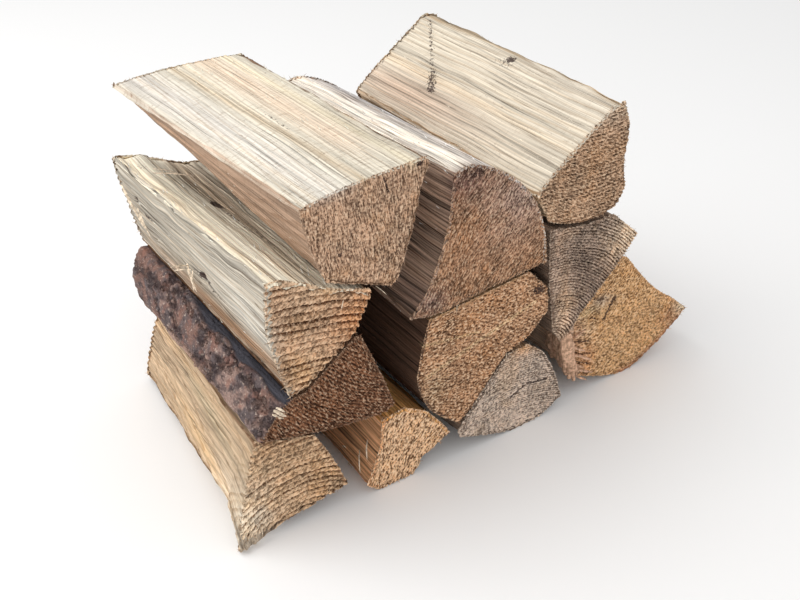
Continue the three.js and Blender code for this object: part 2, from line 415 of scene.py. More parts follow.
def riven_side(w, here, tone, late, log, seed):
    """A riven side's colour and height: fibres, streaks, dark lines and dirt that run along the grain."""
    grain = along_grain(w, here, w.painted("girth"), log["wavy"] * MM, seed)
    fibre = w.noise(grain, 640.0, 2.0, 0.6, seed)
    streak = w.noise(grain, 230.0, 2.0, 0.6, seed + 20)
    band = w.noise(grain, 55.0, 2.0, 0.5, seed + 40)
    # Faces with darker paint, most of them painted as in shade, get bolder grain: painted shading that stands
    # in for the grain's relief, which soft shade hides.
    brightness = w.arrow("DOT_PRODUCT", tone, (0.33, 0.33, 0.33))
    bold = w.times(w.ease(brightness, 0.3, 0.75, 1.7, 1.0), log["bold"])
    light = w.plus(1.0, w.swing(fibre, bold, 1.5), w.swing(streak, bold, 1.1), w.swing(band, 0.9))
    side = w.lit(tone, w.sum_of("MAXIMUM", light, 0.15))
    side = w.tinted(w.times(late, log["side_rings"] * 2.2, w.ease(streak, 0.3, 0.6)), side, (0.56, 0.46, 0.36))
    side = w.tinted(w.times(w.ease(band, 0.52, 0.66), log["warm"]), side, (1.02, 0.84, 0.62))
    line = w.ease(w.noise(grain, 190.0, 3.0, 0.6, seed + 50), 0.585, 0.64)
    side = w.tinted(w.times(line, log["lines"]), side, (0.34, 0.29, 0.26))
    thread = w.ease(w.noise(grain, 460.0, 2.0, 0.6, seed + 60), 0.60, 0.66)
    side = w.tinted(w.times(thread, bold, 0.55, w.ease(streak, 0.35, 0.6, 0.4, 1.0)), side, (0.42, 0.34, 0.29))
    scuff = w.ease(w.noise(w.drawn_out(here, 1.0, 0.16), 620.0, 2.0, 0.6, seed + 70), 0.55, 0.64)
    side = w.tinted(w.times(scuff, log["scuffs"]), side, (0.52, 0.44, 0.38))
    dirt = w.ease(w.noise(w.drawn_out(here, 0.45), 420.0, 3.0, 0.65, seed + 80), 0.63, 0.72)
    side = w.blend(w.times(dirt, log["specks"]), side, paint(96, 72, 58))
    height = w.plus(w.times(fibre, 0.5), w.times(streak, 0.9), w.times(thread, -0.4), w.times(line, -0.6),
                    w.times(late, 0.25))
    return side, height


def sawn_end(w, here, tone, late, fluff, log, seed):
    """A sawn end's colour and height: rings, torn tufts with painted highlights, pits with painted shade, and
    the strokes that the saw left.
    """
    turn = math.radians(log["saw"])
    stroke_x = w.arrow("DOT_PRODUCT", here, (math.cos(turn), 0.0, math.sin(turn)))
    stroke_z = w.arrow("DOT_PRODUCT", here, (-math.sin(turn), 0.0, math.cos(turn)))
    stroke = w.noise(w.point(w.times(stroke_x, 0.12), 0.0, stroke_z), 480.0, 2.0, 0.6, seed + 100)
    blotch = w.noise(here, 42.0, 3.0, 0.55, seed + 140)
    grit = w.noise(here, 430.0, 1.0, 0.5, seed + 160)
    mottle = w.noise(here, 140.0, 2.0, 0.6, seed + 180)
    fuzz, rings = log["fuzz"], log["end_rings"]
    grain = w.ease(w.plus(w.times(fluff, 0.6), w.times(grit, 0.4), w.times(late, rings * -0.12)), 0.36, 0.58)
    light = w.plus(1.0, w.swing(grain, 0.75 * fuzz), w.swing(stroke, log["strokes"]), w.swing(blotch, 1.7),
                   w.swing(mottle, 1.5))
    end = w.lit(tone, w.sum_of("MAXIMUM", light, 0.25))
    warmer = w.ease(w.noise(here, 34.0, 2.0, 0.6, seed + 190), 0.48, 0.64)
    end = w.tinted(w.times(warmer, 0.4), end, (1.0, 0.84, 0.62))
    ragged = w.ease(w.plus(late, w.swing(fluff)), 0.25, 0.70)
    end = w.tinted(w.times(ragged, rings * 1.25), end, (0.30, 0.21, 0.15))
    tufted = w.plus(w.times(fluff, 0.5), w.times(grit, 0.5))
    pit, tuft = w.ease(tufted, 0.40, 0.47, 1.0, 0.0), w.ease(tufted, 0.52, 0.60)
    # Pits are painted dark as shade and tufts pale as highlights, as light would show the end's relief.
    end = w.blend(w.times(pit, 0.8 * fuzz), end, w.arrow("MULTIPLY", tone, (0.24, 0.17, 0.12)))
    end = w.blend(w.times(tuft, 0.92 * fuzz), end, w.blend(0.5, w.lit(tone, 1.55), paint(250, 230, 200)))
    height = w.plus(fluff, w.times(grit, 0.6), w.times(stroke, 0.3), w.times(late, -0.5), w.times(pit, -0.4))
    return end, height


def wood(name, log, number):
    """Riven wood on a log's sides and sawn wood on its ends, in the tones painted on its skin."""
    material, w, here = new_finish(name)
    sawn, tone, stain = w.painted("sawn"), w.painted("tone", "Color"), w.painted("stain")
    seed = float(number)
    share, year, out, reach = growth_rings(w, here, heart(log), log["ring"] * MM)
    vigour = w.node("ShaderNodeTexWhiteNoise", {"W": year}, noise_dimensions="1D").outputs[0]
    late = w.times(late_wood(w, share), w.ease(vigour, 0.0, 1.0, 0.45, 1.0))
    fluff = torn_fibre(w, out, reach, seed)
    side, side_height = riven_side(w, here, tone, late, log, seed)
    end, end_height = sawn_end(w, here, tone, late, fluff, log, seed)
    colour = w.blend(sawn, side, end)
    # The sawn rim is worn pale, and knots, mould and dirt are dark and ragged.
    edge = w.times(w.ease(w.painted("rim"), 0.4 * MM, 2.6 * MM, 0.6, 0.0), sawn, w.ease(fluff, 0.42, 0.56))
    colour = w.blend(edge, colour, w.blend(0.4, tone, paint(250, 236, 212)))
    break_up = w.noise(w.drawn_out(here, 0.7), 520.0, 3.0, 0.75, seed + 200)
    spoiled = w.ease(w.plus(stain, w.swing(break_up, 2.6)), 0.42, 0.62)
    colour = w.blend(w.times(spoiled, w.ease(stain, 0.02, 0.2), 0.9), colour, paint(58, 40, 38))
    riven = w.plus(1.0, w.times(sawn, -1.0))
    finished(w, colour, w.plus(w.times(side_height, riven), w.times(end_height, sawn)), 1.6 * MM)
    return material


def lint(name, colour, lie=(1.0, 0.1, 1.0)):
    """Loose pale fibre and splinters, a little lighter and darker from one to the next."""
    material, w, here = new_finish(name)
    shade = w.ease(w.noise(here, 260.0, 2.0, 0.6, 1.0), 0.35, 0.65)
    fine = w.noise(w.arrow("MULTIPLY", here, lie), 900.0, 2.0, 0.6, 2.0)
    darker, lighter = [c * 0.62 for c in paint(*colour)], paint(*(min(255, c + 22) for c in colour))
    tone = w.lit(w.blend(shade, darker, lighter), w.plus(0.35, w.times(fine, 1.3)))
    finished(w, tone, fine, 0.6 * MM, 0.8)
    return material


def bark_finish(name):
    """Purple-brown and grey bark scales, dark in the cracks, with pale flecks."""
    material, w, here = new_finish(name)
    cracks, number = bark_scales(w, here, BARK_SCALE)
    lying = w.drawn_out(here, 0.6)
    blotch = w.ease(w.noise(here, 55.0, 3.0, 0.6, 7.0), 0.42, 0.58)
    grit = w.noise(lying, 460.0, 3.0, 0.75, 8.0)
    russet = w.ease(w.noise(here, 70.0, 2.0, 0.5, 9.0), 0.54, 0.66)
    fleck = w.ease(w.noise(here, 300.0, 3.0, 0.7, 10.0), 0.56, 0.66)
    gloom = w.ease(w.noise(lying, 75.0, 3.0, 0.65, 11.0), 0.50, 0.62)
    colour = w.blend(w.ease(number, 0.2, 0.8), paint(134, 104, 94), paint(158, 132, 122))
    colour = w.blend(blotch, colour, paint(104, 92, 92))
    colour = w.blend(w.times(russet, 0.5), colour, paint(150, 104, 88))
    colour = w.lit(colour, w.plus(0.20, w.times(grit, 1.6)))
    colour = w.blend(w.times(fleck, 0.75), colour, paint(206, 186, 172))
    colour = w.blend(w.times(gloom, 0.75), colour, w.lit(paint(66, 54, 56), w.plus(0.4, w.times(grit, 1.3))))
    colour = w.blend(w.times(w.ease(cracks, 0.0, 1.0, 1.0, 0.0), 0.6), colour, paint(56, 42, 40))
    line = w.noise(w.drawn_out(here, 0.04), 620.0, 2.0, 0.6, 12.0)
    under = w.lit(paint(64, 63, 70), w.plus(-0.1, w.times(line, 2.3)))
    rosy = w.times(w.painted("rosy"), w.ease(grit, 0.36, 0.56))
    colour = w.blend(w.times(rosy, 0.8), colour, paint(198, 164, 144))
    colour = w.blend(w.painted("bared"), colour, under)
    finished(w, colour, w.plus(w.times(cracks, 0.6), grit), 2.2 * MM)
    return material


# ------------------------------------------------------------------ geometry trees

def new_tree(name, sizes):
    """A geometry tree with a geometry, a material and named sizes; gives it, its wiring and its inputs."""
    tree = bpy.data.node_groups.new(name, "GeometryNodeTree")
    face = tree.interface
    face.new_socket("Geometry", in_out="INPUT", socket_type="NodeSocketGeometry")
    face.new_socket("Material", in_out="INPUT", socket_type="NodeSocketMaterial")
    for size in sizes:
        kind = "NodeSocketVector" if size in ("Pith", "Stroke") else "NodeSocketFloat"
        face.new_socket(size, in_out="INPUT", socket_type=kind)
    face.new_socket("Geometry", in_out="OUTPUT", socket_type="NodeSocketGeometry")
    w = Wiring(tree)
    given = w.node("NodeGroupInput").outputs
    return tree, w, given


def close_tree(w, geometry, material):
    """Ends a tree: instances made real, and its material set."""
    real = w.node("GeometryNodeRealizeInstances", {0: geometry}).outputs[0]
    done = w.node("GeometryNodeSetMaterial", {"Geometry": real, "Material": material}).outputs[0]
    out = w.node("NodeGroupOutput")
    w.tree.links.new(done, out.inputs[0])


def named(w, attribute):
    """For a geometry tree: what is painted on its mesh."""
    read = w.node("GeometryNodeInputNamedAttribute", {"Name": attribute}, data_type="FLOAT")
    return read.outputs["Attribute"]


def pushed(w, geometry, offset, material):
    """Ends a tree that only moves its mesh's points."""
    moved = w.node("GeometryNodeSetPosition", {"Geometry": geometry, "Offset": offset}).outputs[0]
    close_tree(w, moved, material)


def weathering_tree():
    """Presses ridges, terraces, rings, saw marks and chips into a log's skin."""
    tree, w, given = new_tree("weathered billet", [
        "Pith", "Ring Width", "Ring Relief", "Ridge Depth", "Ridge Width", "Terrace Depth", "Wave Depth",
        "End Roughness", "Stroke", "Chip Depth", "Edge Wander", "Seed"])
    here = w.node("GeometryNodeInputPosition").outputs[0]
    sawn, rim, corner, dent, girth = (named(w, a) for a in ("sawn", "rim", "corner", "dent", "girth"))
    seed, relief, rough, chip_depth = (given[n] for n in ("Seed", "Ring Relief", "End Roughness", "Chip Depth"))
    share, _, way, reach = growth_rings(w, here, given["Pith"], given["Ring Width"])
    late = late_wood(w, share)

    grain = along_grain(w, here, girth, 3.0 * MM, 0.0)
    slow = w.drawn_out(here, 0.16)
    ridge = w.ease(w.noise(grain, w.sum_of("DIVIDE", 1.0, given["Ridge Width"]), 3.0, 0.62, seed), 0.30, 0.72)
    levels = w.times(w.noise(slow, 55.0, 2.0, 0.55, w.plus(seed, 9.0)), TERRACE_LEVELS)
    tread = w.plus(w.sum_of("FLOOR", levels), w.ease(w.sum_of("FRACT", levels), 0.72, 1.0))
    terrace = w.sum_of("DIVIDE", tread, TERRACE_LEVELS)
    side = w.plus(
        w.times(w.plus(ridge, -1.0), given["Ridge Depth"]),
        w.times(w.plus(w.noise(slow, 26.0, 1.0, 0.5, seed), -0.75), given["Wave Depth"]),
        w.times(w.plus(terrace, -0.75), given["Terrace Depth"]),
        w.times(late, relief, w.ease(rim, 0.0, 10 * MM, -2.2, -0.4)))

    stroke = w.noise(w.arrow("MULTIPLY", here, given["Stroke"]), 300.0, 1.0, 0.5, w.plus(seed, 2.0))
    end = w.plus(
        w.times(w.plus(torn_fibre(w, way, reach, seed), -0.65), rough, 4.0),
        w.times(w.plus(stroke, -0.7), rough, 0.6),
        w.times(w.plus(w.noise(here, 24.0, 1.0, 0.5, seed), -0.7), rough, 2.0),
        w.times(late, relief, -1.6))

    chip = w.ease(w.noise(here, 130.0, 2.0, 0.6, w.plus(seed, 4.0)), 0.47, 0.66)
    nick = w.noise(here, 420.0, 1.0, 0.5, w.plus(seed, 5.0))
    bite = w.noise(w.drawn_out(here, 0.25), 160.0, 3.0, 0.6, seed)
    wander = w.noise(w.drawn_out(here, 0.6), 34.0, 2.0, 0.5, w.plus(seed, 6.0))
    worn = w.plus(
        w.times(w.plus(chip, w.times(nick, 0.5)), w.ease(rim, 0.0, 5 * MM, 1.0, 0.0), chip_depth, -1.0),
        w.times(bite, w.ease(corner, 0.0, 4 * MM, 1.0, 0.0), chip_depth, -1.4),
        w.times(w.plus(wander, -0.62), w.ease(corner, 0.0, 12 * MM, 1.0, 0.0), given["Edge Wander"]),
        w.times(dent, -1.0))
    height = w.plus(w.times(side, w.plus(1.0, w.times(sawn, -1.0))), w.times(end, sawn), worn)
    out = w.node("GeometryNodeInputNormal").outputs[0]
    pushed(w, given["Geometry"], w.arrow("SCALE", out, scale=height), given["Material"])
    return tree


def blades_on(w, given, where, density, direction, blade):
    """Small blades spread over the faces where where is true, each lying along its direction."""
    spread = w.node("GeometryNodeDistributePointsOnFaces", {
        "Mesh": given["Geometry"], "Selection": where, "Density": density,
        "Seed": w.node("FunctionNodeFloatToInt", {0: given["Seed"]}).outputs[0]})
    way = direction(spread.outputs["Normal"])
    aligned = w.node("FunctionNodeAlignRotationToVector", {"Vector": way}, axis="Z")
    size = w.node("FunctionNodeRandomValue", {"Min": 0.45, "Max": 1.5}, data_type="FLOAT")
    # A float random value is that node's second output.
    placed = w.node("GeometryNodeInstanceOnPoints", {
        "Points": spread.outputs["Points"], "Instance": blade, "Rotation": aligned.outputs[0],
        "Scale": size.outputs[1]}).outputs[0]
    close_tree(w, placed, given["Material"])


def blade(w, sides, width, length, flatness=1.0):
    """A pointed sliver that stands on its broad end."""
    cone = w.node("GeometryNodeMeshCone", {
        "Vertices": sides, "Side Segments": 2, "Radius Top": w.times(width, 0.12), "Radius Bottom": width,
        "Depth": length}).outputs[0]
    height = w.sum_of("DIVIDE", w.part(w.node("GeometryNodeInputPosition").outputs[0], 2), length)
    bow = w.point(w.times(height, height, length, 0.28))
    curved = w.node("GeometryNodeSetPosition", {"Geometry": cone, "Offset": bow}).outputs[0]
    return w.node("GeometryNodeTransform", {"Geometry": curved, "Scale": (1.0, flatness, 1.0)}).outputs[0]


def random_arrow(w, low, high):
    """A vector drawn anew for each point, between low and high on each axis."""
    return w.node("FunctionNodeRandomValue", {"Min": low, "Max": high}, data_type="FLOAT_VECTOR").outputs[0]


def where_sawn(w, operation, limit):
    """Picks a skin's sawn ends or its riven sides."""
    return w.node("FunctionNodeCompare", {"A": named(w, "sawn"), "B": limit}, data_type="FLOAT",
                  operation=operation).outputs[0]


def fringe_tree():
    """Torn fibres on the sawn ends, thickest along their rims."""
    tree, w, given = new_tree("sawn fringe", ["Density", "Length", "Width", "Seed"])
    on_end = where_sawn(w, "GREATER_THAN", 0.75)
    density = w.times(given["Density"], w.ease(named(w, "rim"), 0.0, 4 * MM, 3.2, 0.7))

    def lying(normal):
        across = random_arrow(w, (-1.0, -0.1, -1.0), (1.0, 0.1, 0.75))
        return w.arrow("ADD", across, w.arrow("SCALE", normal, scale=0.42))

    blades_on(w, given, on_end, density, lying, blade(w, 3, given["Width"], given["Length"]))
    return tree


def splinter_tree():
    """Thin splinters lifted along the grain, mostly at the corners of the riven sides, and none underneath."""
    tree, w, given = new_tree("riven splinters", ["Density", "Length", "Width", "Seed"])
    on_side = where_sawn(w, "LESS_THAN", 0.25)
    near = w.ease(named(w, "corner"), 0.0, 5 * MM, 1.0, 0.10)
    near_end = w.ease(named(w, "rim"), 0.0, 12 * MM, 0.6, 1.0)
    not_under = w.ease(w.part(w.node("GeometryNodeInputNormal").outputs[0], 2), -0.7, -0.3)

    def lying(normal):
        along = w.node("FunctionNodeRandomValue", {"Min": -1.0, "Max": 1.0}, data_type="FLOAT").outputs[1]
        sway = random_arrow(w, (-0.05, 0.0, -0.05), (0.05, 0.0, 0.05))
        way = w.arrow("ADD", w.point(y=w.sum_of("SIGN", along)), sway)
        return w.arrow("ADD", way, w.arrow("SCALE", normal, scale=0.09))

    blades_on(w, given, on_side, w.times(given["Density"], near, near_end, not_under), lying,
              blade(w, 4, given["Width"], given["Length"], 0.45))
    return tree


def bark_tree():
    """Lifts a bark patch into long scales with cracks between them."""
    tree, w, given = new_tree("bark scales", ["Scale Width", "Scale Lift", "Roughness", "Seed"])
    here = w.node("GeometryNodeInputPosition").outputs[0]
    cracks, number = bark_scales(w, here, given["Scale Width"])
    bulge, rough = w.noise(here, 45.0, 2.0, 0.5, given["Seed"]), w.noise(here, 330.0, 3.0, 0.7, given["Seed"])
    height = w.plus(w.times(w.plus(cracks, -0.6), w.plus(0.5, number), given["Scale Lift"]),
                    w.swing(bulge, given["Scale Lift"], 3.0), w.swing(rough, given["Roughness"]))
    out = w.node("GeometryNodeInputNormal").outputs[0]
    offset = w.arrow("SCALE", out, scale=w.times(height, named(w, "proud")))
    pushed(w, given["Geometry"], offset, given["Material"])
    return tree


def bark_scales(w, here, width):
    """Bark scales: 0 in the cracks between them and 1 on them, and each scale's own number."""
    at = w.arrow("ADD", w.drawn_out(here, 0.42), w.shake(here, 120.0, 0.6, 2.0, 22 * MM))
    plugs = {"Vector": at, "Scale": w.sum_of("DIVIDE", 1.0, width)}
    edge = w.node("ShaderNodeTexVoronoi", plugs, feature="DISTANCE_TO_EDGE").outputs["Distance"]
    cell = w.node("ShaderNodeTexVoronoi", plugs, feature="F1").outputs["Color"]
    return w.ease(edge, 0.0, 0.10), w.part(cell, 0)


def grown(piece, tree, **sizes):
    """Runs a geometry tree on a piece and keeps the result as its plain mesh."""
    modifier = piece.modifiers.new(tree.name, "NODES")
    modifier.node_group = tree
    for item in tree.interface.items_tree:
        if item.item_type == "SOCKET" and item.in_out == "INPUT" and item.name in sizes:
            modifier[item.identifier] = sizes[item.name]
    depsgraph = bpy.context.evaluated_depsgraph_get()
    mesh = bpy.data.meshes.new_from_object(
        piece.evaluated_get(depsgraph), preserve_all_data_layers=True, depsgraph=depsgraph)
    piece.modifiers.remove(modifier)
    piece.data = mesh
    mesh.name = piece.name
    return piece


# ------------------------------------------------------------------ skins

def sections_of(node):
    """The CAD log's cross-sections from front to back: each one's y, and its corners (x, z) anticlockwise."""
    mesh = node.data
    spots = np.empty(len(mesh.vertices) * 3)
    mesh.vertices.foreach_get("co", spots)
    spots, same = np.unique(np.round(spots.reshape(-1, 3), 5), axis=0, return_inverse=True)
    corners = np.empty(len(mesh.polygons) * 3, int)
    mesh.polygons.foreach_get("vertices", corners)
    triangles = same.reshape(-1)[corners].reshape(-1, 3)
    depths = np.unique(spots[:, 1])
    station = np.searchsorted(depths, spots[:, 1])
    beside = {}
    for triangle in triangles:
        if len(set(station[triangle])) == 2:
            for a, b in ((0, 1), (1, 2), (2, 0)):
                one, two = triangle[a], triangle[b]
                if station[one] == station[two]:
                    beside.setdefault(one, set()).add(two)
                    beside.setdefault(two, set()).add(one)
    loops = []
    for level in range(len(depths)):
        here = np.nonzero(station == level)[0]
        first = here[np.argmin(spots[here, 0] + spots[here, 2])]
        loop, last = [first], first
        step = min(beside[first])
        while step != first:
            loop.append(step)
            last, step = step, next(n for n in beside[step] if n != last)
        loop = spots[loop][:, [0, 2]]
        ahead = np.roll(loop, -1, axis=0)
        if (loop[:, 0] * ahead[:, 1] - ahead[:, 0] * loop[:, 1]).sum() < 0:
            loop = loop[::-1]
        if loops:
            centred = loop - loop.mean(0)
            before = loops[-1] - loops[-1].mean(0)
            misses = [((np.roll(centred, -s, axis=0) - before) ** 2).sum() for s in range(len(loop))]
            loop = np.roll(loop, -int(np.argmin(misses)), axis=0)
        loops.append(loop)
    return depths, np.array(loops)


def finer_loops(loops):
    """Loops with points every STEP_AROUND, curved through their soft corners, and where the hard ones are."""
    ahead, behind = np.roll(loops, -1, axis=1), np.roll(loops, 1, axis=1)
    turn_in, turn_out = loops[0] - behind[0], ahead[0] - loops[0]
    turn = np.abs(np.angle(np.exp(1j * (np.arctan2(turn_out[:, 1], turn_out[:, 0])
                                        - np.arctan2(turn_in[:, 1], turn_in[:, 0])))))
    soft = turn < SOFT_TURN
    way_out = (ahead - loops) / np.linalg.norm(ahead - loops, axis=2, keepdims=True)
    way_in = np.roll(way_out, 1, axis=1)
    slope = (way_in + way_out) / 2
    parts, hard, count = [], [], 0
    for k in range(loops.shape[1]):
        after = (k + 1) % loops.shape[1]
        start, stop = loops[:, k], loops[:, after]
        chord = stop - start
        steps = max(1, round(float(np.linalg.norm(chord, axis=1).max() / STEP_AROUND)))
        span = np.linalg.norm(chord, axis=1, keepdims=True)
        leave = slope[:, k] * span if soft[k] else chord
        arrive = slope[:, after] * span if soft[after] else chord
        t = (np.arange(steps) / steps)[None, :, None]
        parts.append((2 * t**3 - 3 * t**2 + 1) * start[:, None] + (t**3 - 2 * t**2 + t) * leave[:, None]
                     + (3 * t**2 - 2 * t**3) * stop[:, None] + (t**3 - t**2) * arrive[:, None])
        if not soft[k]:
            hard.append(count)
        count += steps
    return np.concatenate(parts, axis=1), hard


def depth_steps(front, back):
    """Where the skin's loops lie along a log: close together at its ends."""
    steps, at = [front], front
    while at < back:
        nearest = min(at - front, back - at)
        at += min(STEP_ALONG, STEP_ALONG_AT_ENDS + 0.25 * nearest)
        steps.append(at)
    steps = np.array(steps)
    return front + (steps - front) * (back - front) / (steps[-1] - front)


def inside(points, loop):
    """Which points lie inside a loop."""
    x, z = points[:, 0][:, None], points[:, 1][:, None]
    x0, z0 = loop[:, 0], loop[:, 1]
    x1, z1 = np.roll(x0, -1), np.roll(z0, -1)
    with np.errstate(divide="ignore", invalid="ignore"):
        crossing = ((z0 > z) != (z1 > z)) & (x < (x1 - x0) * (z - z0) / (z1 - z0) + x0)
    return crossing.sum(1) % 2 == 1


def nearest_of(points, others):
    """How far each point is from the nearest of some others, and which one that is."""
    best, which = np.full(len(points), 1e9), np.zeros(len(points), int)
    for start in range(0, len(others), 64):
        gaps = np.linalg.norm(points[:, None] - others[start:start + 64][None], axis=2)
        closest = gaps.argmin(1)
        gap = gaps[np.arange(len(points)), closest]
        which[gap < best] = start + closest[gap < best]
        best = np.minimum(best, gap)
    return best, which


def distance_to(points, others):
    """How far each point is from the nearest of some others."""
    return nearest_of(points, others)[0]


def end_cap(loop, step, draw):
    """A sawn end: its inner points, and triangles over the loop's points and then those."""
    low, high = loop.min(0), loop.max(0)
    row = step * math.sqrt(3) / 2
    rows = int((high[1] - low[1]) / row) + 2
    cols = int((high[0] - low[0]) / step) + 2
    grid = np.array([(low[0] + (c + 0.5 * (r % 2)) * step, low[1] + r * row)
                     for r in range(rows) for c in range(cols)])
    grid += draw.uniform(-0.28, 0.28, grid.shape) * step
    grid = grid[inside(grid, loop)]
    grid = grid[distance_to(grid, loop) > 0.62 * step]
    # The triangulation works in millimetres, where its tolerance is far below a step.
    flat = np.concatenate([loop, grid]) / MM
    points = [Vector(p) for p in flat]
    ring = list(range(len(loop)))
    made = delaunay_2d_cdt(points, [], [ring], 1, 1e-5)
    back = [old[0] for old in made[3]]
    return grid, [tuple(back[i] for i in face) for face in made[2]]


def soft_fall(distance):
    """1 at the middle of a patch, falling to 0 well outside it."""
    return np.exp(-distance**2)


def lofted(depths, fine, along):
    """The side's points, [along, around], at some depths along a log."""
    side = np.empty((len(along), fine.shape[1], 3))
    side[..., 1] = along[:, None]
    for i in range(fine.shape[1]):
        side[:, i, 0] = np.interp(along, depths, fine[:, i, 0])
        side[:, i, 2] = np.interp(along, depths, fine[:, i, 1])
    return side


def facing_of(side, reach):
    """Which way each side point faces, in degrees as in a log's tones, and the step across it."""
    across = np.roll(side, -reach, axis=1) - np.roll(side, reach, axis=1)
    return np.degrees(np.arctan2(-across[..., 0], across[..., 2])) % 360, across


def store(mesh, attribute, values, kind="FLOAT", domain="POINT", field="value"):
    """Paints values on a mesh's points or faces."""
    made = mesh.attributes.new(attribute, kind, domain)
    made.data.foreach_set(field, np.asarray(values, np.float32).ravel())


def laid_out(mesh):
    """A new piece of the scene with this mesh and its name."""
    piece = bpy.data.objects.new(mesh.name, mesh)
    bpy.context.scene.collection.objects.link(piece)
    return piece


def washed(tones, share, colour):
    """Tones with a share of another colour in each."""
    return tones * (1 - share[:, None]) + colour * share[:, None]


def side_tones(facing, log):
    """The paint of each face of the side, [along, around], blended where two tones meet, painted light and
    shade included.
    """
    tones = np.empty(facing.shape + (3,))
    tones[:] = paint(*log["tone"][0][2])
    for start, stop, colour in log["tone"]:
        tones[(facing - start) % 360 < stop - start] = paint(*colour)
    soften = np.array([1, 2, 3, 2, 1]) / 9
    tones = sum(weight * np.roll(tones, shift - 2, axis=1) for shift, weight in enumerate(soften))
    tones = (tones[:-1] + tones[1:]) / 2
    return (tones + np.roll(tones, -1, axis=1)) / 2


def skin(name, log, number):
    """A dense closed skin over one CAD log, with what its wood and its weathering read painted on it."""
    draw = np.random.default_rng(100 + number)
    depths, loops = sections_of(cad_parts[name])
    fine, hard = finer_loops(loops)
    along = depth_steps(depths[0], depths[-1])
    side = lofted(depths, fine, along)
    around, count = side.shape[1], side.shape[0] * side.shape[1]
    front_rim, back_rim = side[0][:, [0, 2]], side[-1][:, [0, 2]]
    front_points, front_faces = end_cap(front_rim, STEP_FRONT_END, draw)
    back_points, back_faces = end_cap(back_rim, STEP_BACK_END, draw)
    first_back = count + len(front_points)
    spots = np.concatenate([side.reshape(-1, 3), np.insert(front_points, 1, along[0], axis=1),
                            np.insert(back_points, 1, along[-1], axis=1)])

    def numbered(face, first, loop_start):
        return [loop_start + v if v < around else first + v - around for v in face]

    i, j = np.arange(around), np.arange(len(along) - 1)[:, None]
    here, beside = j * around + i, j * around + (i + 1) % around
    faces = np.stack([here, here + around, beside + around, beside], axis=-1).reshape(-1, 4).tolist()
    quads = len(faces)
    faces += [numbered(f, count, 0) for f in front_faces]
    faces += [numbered(f, first_back, count - around)[::-1] for f in back_faces]
    mesh = bpy.data.meshes.new(name.replace("log_", "billet_"))
    mesh.from_pydata(spots, [], faces)

    facing = (facing_of(side, 2)[0] + 0.8 * np.sin(along / TWIST_PITCH + number)[:, None]) % 360
    on_side = side_tones(facing, log)
    tone = np.concatenate([on_side.reshape(-1, 3), np.tile(paint(*log["end"]), (len(faces) - quads, 1))])
    middles = np.concatenate([spots[np.array(part)].mean(1) for part in (faces[:quads], faces[quads:])])
    front = slice(quads, quads + len(front_faces))
    back = slice(quads + len(front_faces), len(faces))
    # The very rim of a sawn end is as pale or dark as the side it meets, painted light and shade included.
    for part, rim, row, width in ((front, front_rim, 0, FRONT_RIM_TONE), (back, back_rim, -1, BACK_RIM_TONE)):
        apart, nearest = nearest_of(middles[part][:, [0, 2]], rim)
        tone[part] = washed(tone[part], soft_fall(apart / width), on_side[row][nearest])
    for start, stop, width, colour, strength in log["skins"]:
        along_skin = front_rim[((facing[0] - start) % 360) < stop - start]
        apart = distance_to(middles[front][:, [0, 2]], along_skin) / (width * MM)
        tone[front] = washed(tone[front], strength * soft_fall(apart), np.array(paint(*colour)))
    for x, y, z, *reach, colour, strength in log["smudges"]:
        apart = np.linalg.norm((middles - np.array(place(x, y, z))) / (np.array(reach) * MM), axis=1)
        tone = washed(tone, strength * soft_fall(apart), np.array(paint(*colour)))

    stain, dent = np.zeros(len(spots)), np.zeros(len(spots))
    for x, y, z, *reach, strength in log["stains"]:
        apart = np.linalg.norm((spots - np.array(place(x, y, z))) / (np.array(reach) * MM), axis=1)
        stain = np.maximum(stain, strength * soft_fall(apart))
    for x, y, z, reach, depth in log["dents"]:
        apart = np.linalg.norm(spots - np.array(place(x, y, z)), axis=1) / (reach * MM)
        dent += depth * MM * soft_fall(apart)

    # How far each point is from the sawn rim, and from the nearest hard corner of the section.
    rim = np.concatenate([np.minimum(side[..., 1] - along[0], along[-1] - side[..., 1]).reshape(-1),
                          distance_to(front_points, front_rim), distance_to(back_points, back_rim)])
    corner = np.full(len(spots), 1.0)
    if hard:
        corner[:count] = np.concatenate([distance_to(row[:, [0, 2]], row[hard][:, [0, 2]]) for row in side])
    # How far round the log each side point lies, the same from end to end.
    spans = np.linalg.norm(np.roll(side, -1, axis=1) - side, axis=2).mean(0)
    girth = np.zeros(len(spots))
    girth[:count] = np.tile(np.concatenate([[0.0], np.cumsum(spans)[:-1]]), len(along))

    store(mesh, "sawn", [0.0] * quads + [1.0] * (len(faces) - quads), domain="FACE")
    store(mesh, "tone", np.insert(tone, 3, 1.0, axis=1), "FLOAT_COLOR", "FACE", "color")
    painted = {"stain": stain, "dent": dent, "rim": rim, "corner": corner, "girth": girth}
    for attribute, values in painted.items():
        store(mesh, attribute, values)
    return laid_out(mesh)


